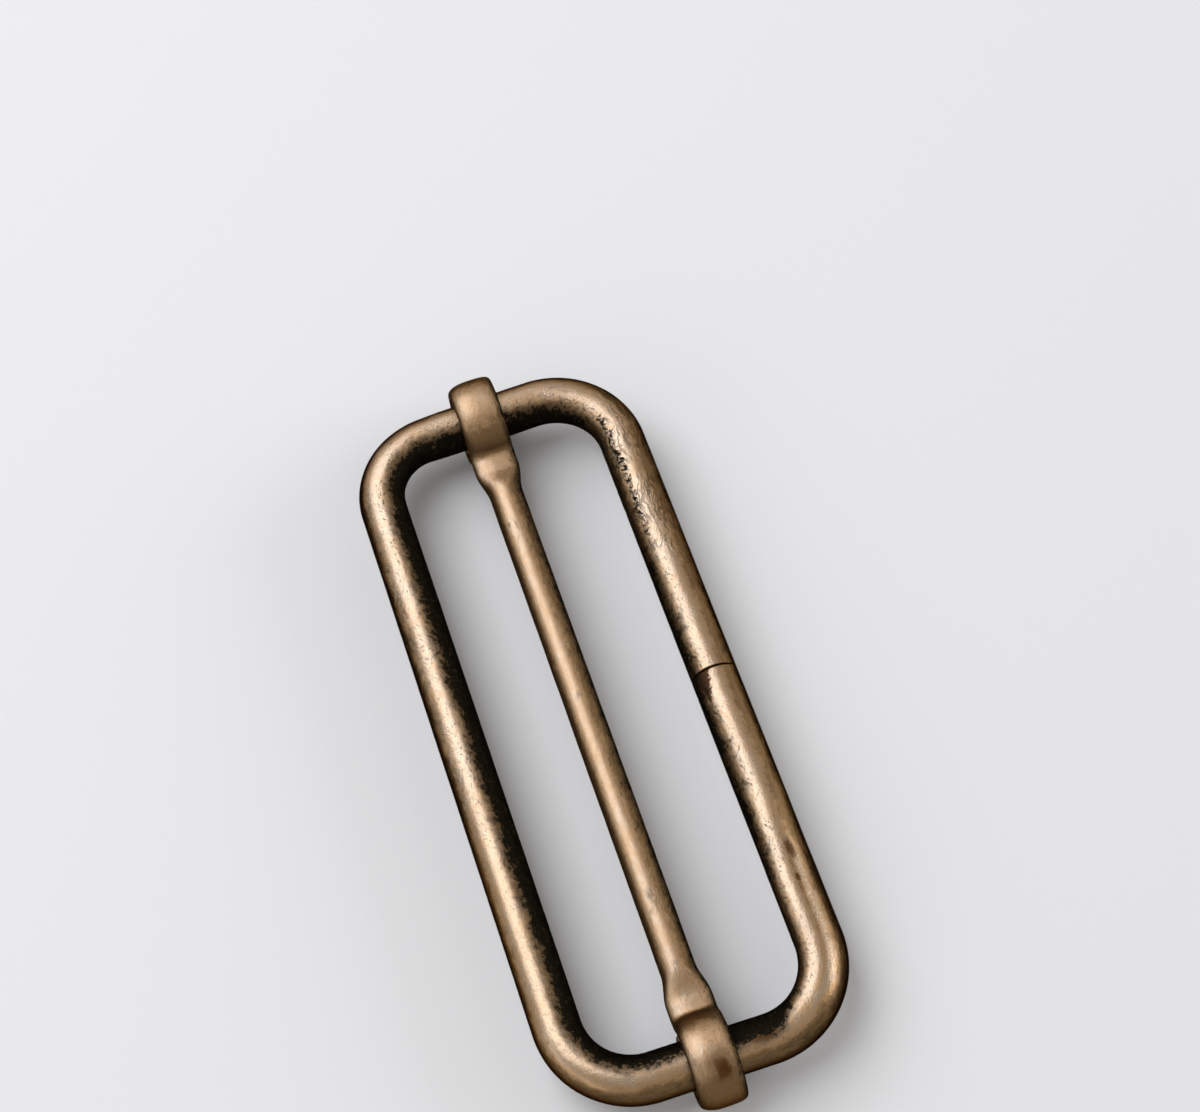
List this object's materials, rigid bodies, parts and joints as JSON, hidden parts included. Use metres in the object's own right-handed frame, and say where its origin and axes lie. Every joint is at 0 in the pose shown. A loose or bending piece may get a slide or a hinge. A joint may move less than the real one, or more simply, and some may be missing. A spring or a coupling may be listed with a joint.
{
  "type": "movable-bar slider buckle",
  "caption": "Rectangular wire slider for flat webbing, with a loose centre bar whose flattened ends curl round the frame's short sides.",
  "frame": {"origin": "middle of the frame's opening, in the plane of its wire", "axes": "+X along the long sides, +Y across the opening towards the side with the butt seam, +Z out of the face over which the bar's necks rise"},
  "size_m": [0.0506, 0.0192, 0.0056],
  "materials": {
    "frame_brass": "antique brass plate, rubbed bright on the raised side, black-brown in the recesses",
    "bar_brass": "antique brass plate, rubbed bright on the curls"
  },
  "bodies": {
    "frame": {"frame": "frame_brass"},
    "bar": {"bar": "bar_brass"}
  },
  "joints": [
    {"name": "bar_slide", "type": "slide", "parent": "frame", "child": "bar", "axis": [0, 1, 0], "range_m": [-0.0031, 0.0036]}
  ]
}
